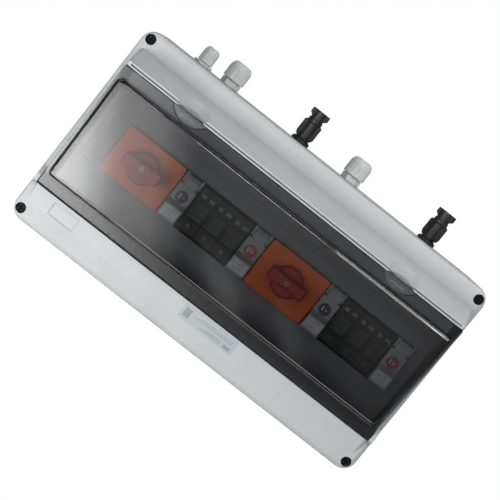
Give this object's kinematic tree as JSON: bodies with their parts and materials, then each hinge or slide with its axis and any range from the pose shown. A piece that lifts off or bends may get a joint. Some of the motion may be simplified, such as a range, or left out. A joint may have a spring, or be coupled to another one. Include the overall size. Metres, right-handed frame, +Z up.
{
  "type": "dc combiner box",
  "caption": "Wall-mounted DC combiner box: fuses, surge arresters and isolators on a rail behind a hinged smoked door, with glands and plugs below.",
  "frame": {"origin": "centre of the flat back face that lies on the wall", "axes": "+Z up along the wall, -Y out of the wall towards the door, +X to the right seen from the front"},
  "size_m": [0.363, 0.1077, 0.2277],
  "materials": {
    "cover_grey": "finely textured moulded plastic",
    "seal_rubber": "matt",
    "screw_black": "moulded nylon",
    "mask_grey": "finely textured",
    "door_smoke": "clear smoked, polished",
    "rail_zinc": "zinc plated",
    "fuse_case": "satin",
    "fuse_ceramic": "glazed tube",
    "arrester_case": "satin",
    "switch_case": "satin",
    "switch_plate": "satin",
    "switch_handle": "satin gloss",
    "blank_strip": "satin",
    "plug_black": "moulded",
    "gland_white": "moulded nylon",
    "gland_rubber": "matt",
    "holder_grey": "satin",
    "earth_brass": "machined"
  },
  "bodies": {
    "box": {"base_shell": "cover_grey", "front_cover": "cover_grey", "seam_gasket": "seal_rubber", "door_seal": "seal_rubber", "cover_screw_1": "screw_black", "cover_screw_2": "screw_black", "cover_screw_3": "screw_black", "cover_screw_4": "screw_black", "device_mask": "mask_grey", "din_rail": "rail_zinc", "rail_screw_1": "rail_zinc", "rail_screw_2": "rail_zinc", "fuse_plus_1_body": "fuse_case", "fuse_minus_1_body": "fuse_case", "fuse_plus_2_body": "fuse_case", "fuse_minus_2_body": "fuse_case", "arrester_1_base": "arrester_case", "arrester_2_base": "arrester_case", "isolator_1_body": "switch_case", "isolator_1_plate": "switch_plate", "isolator_2_body": "switch_case", "isolator_2_plate": "switch_plate", "blanking_strip": "blank_strip", "connector_1_housing": "plug_black", "connector_1_locknut": "plug_black", "connector_2_housing": "plug_black", "connector_2_locknut": "plug_black", "gland_1_body": "gland_white", "gland_1_dome_nut": "gland_white", "gland_1_locknut": "gland_white", "gland_1_seal": "gland_rubber", "gland_2_body": "gland_white", "gland_2_dome_nut": "gland_white", "gland_2_locknut": "gland_white", "gland_2_seal": "gland_rubber", "gland_3_body": "gland_white", "gland_3_dome_nut": "gland_white", "gland_3_locknut": "gland_white", "gland_3_seal": "gland_rubber", "earth_bar_holder": "holder_grey", "earth_bar": "earth_brass"},
    "door": {"door": "door_smoke"},
    "fuse_plus_1_carrier": {"fuse_plus_1_carrier": "fuse_case", "fuse_plus_1_link": "fuse_ceramic"},
    "fuse_minus_1_carrier": {"fuse_minus_1_carrier": "fuse_case", "fuse_minus_1_link": "fuse_ceramic"},
    "fuse_plus_2_carrier": {"fuse_plus_2_carrier": "fuse_case", "fuse_plus_2_link": "fuse_ceramic"},
    "fuse_minus_2_carrier": {"fuse_minus_2_carrier": "fuse_case", "fuse_minus_2_link": "fuse_ceramic"},
    "arrester_1_cartridge_1": {"arrester_1_cartridge_1": "arrester_case"},
    "arrester_1_cartridge_2": {"arrester_1_cartridge_2": "arrester_case"},
    "arrester_1_cartridge_3": {"arrester_1_cartridge_3": "arrester_case"},
    "arrester_2_cartridge_1": {"arrester_2_cartridge_1": "arrester_case"},
    "arrester_2_cartridge_2": {"arrester_2_cartridge_2": "arrester_case"},
    "arrester_2_cartridge_3": {"arrester_2_cartridge_3": "arrester_case"},
    "isolator_1_handle": {"isolator_1_handle": "switch_handle"},
    "isolator_2_handle": {"isolator_2_handle": "switch_handle"}
  },
  "joints": [
    {"name": "door_hinge", "type": "hinge", "parent": "box", "child": "door", "pos_m": [0, -0.08032, 0.05952], "axis": [-1, 0, 0], "range_deg": [0, 110]},
    {"name": "fuse_plus_1_tilt", "type": "hinge", "parent": "box", "child": "fuse_plus_1_carrier", "pos_m": [-0.1528, -0.0655, -0.017], "axis": [1, 0, 0], "range_deg": [0, 22]},
    {"name": "fuse_minus_1_tilt", "type": "hinge", "parent": "box", "child": "fuse_minus_1_carrier", "pos_m": [-0.0794, -0.0655, -0.017], "axis": [1, 0, 0], "range_deg": [0, 22]},
    {"name": "fuse_plus_2_tilt", "type": "hinge", "parent": "box", "child": "fuse_plus_2_carrier", "pos_m": [0.0008, -0.0655, -0.017], "axis": [1, 0, 0], "range_deg": [0, 22]},
    {"name": "fuse_minus_2_tilt", "type": "hinge", "parent": "box", "child": "fuse_minus_2_carrier", "pos_m": [0.0742, -0.0655, -0.017], "axis": [1, 0, 0], "range_deg": [0, 22]},
    {"name": "arrester_1_cartridge_1_slide", "type": "slide", "parent": "box", "child": "arrester_1_cartridge_1", "axis": [0, -1, 0], "range_m": [0, 0.018]},
    {"name": "arrester_1_cartridge_2_slide", "type": "slide", "parent": "box", "child": "arrester_1_cartridge_2", "axis": [0, -1, 0], "range_m": [0, 0.018]},
    {"name": "arrester_1_cartridge_3_slide", "type": "slide", "parent": "box", "child": "arrester_1_cartridge_3", "axis": [0, -1, 0], "range_m": [0, 0.018]},
    {"name": "arrester_2_cartridge_1_slide", "type": "slide", "parent": "box", "child": "arrester_2_cartridge_1", "axis": [0, -1, 0], "range_m": [0, 0.018]},
    {"name": "arrester_2_cartridge_2_slide", "type": "slide", "parent": "box", "child": "arrester_2_cartridge_2", "axis": [0, -1, 0], "range_m": [0, 0.018]},
    {"name": "arrester_2_cartridge_3_slide", "type": "slide", "parent": "box", "child": "arrester_2_cartridge_3", "axis": [0, -1, 0], "range_m": [0, 0.018]},
    {"name": "isolator_1_turn", "type": "hinge", "parent": "box", "child": "isolator_1_handle", "pos_m": [-0.0393, -0.073, 0], "axis": [0, 1, 0], "range_deg": [0, 90]},
    {"name": "isolator_2_turn", "type": "hinge", "parent": "box", "child": "isolator_2_handle", "pos_m": [0.1143, -0.073, 0], "axis": [0, 1, 0], "range_deg": [0, 90]}
  ]
}
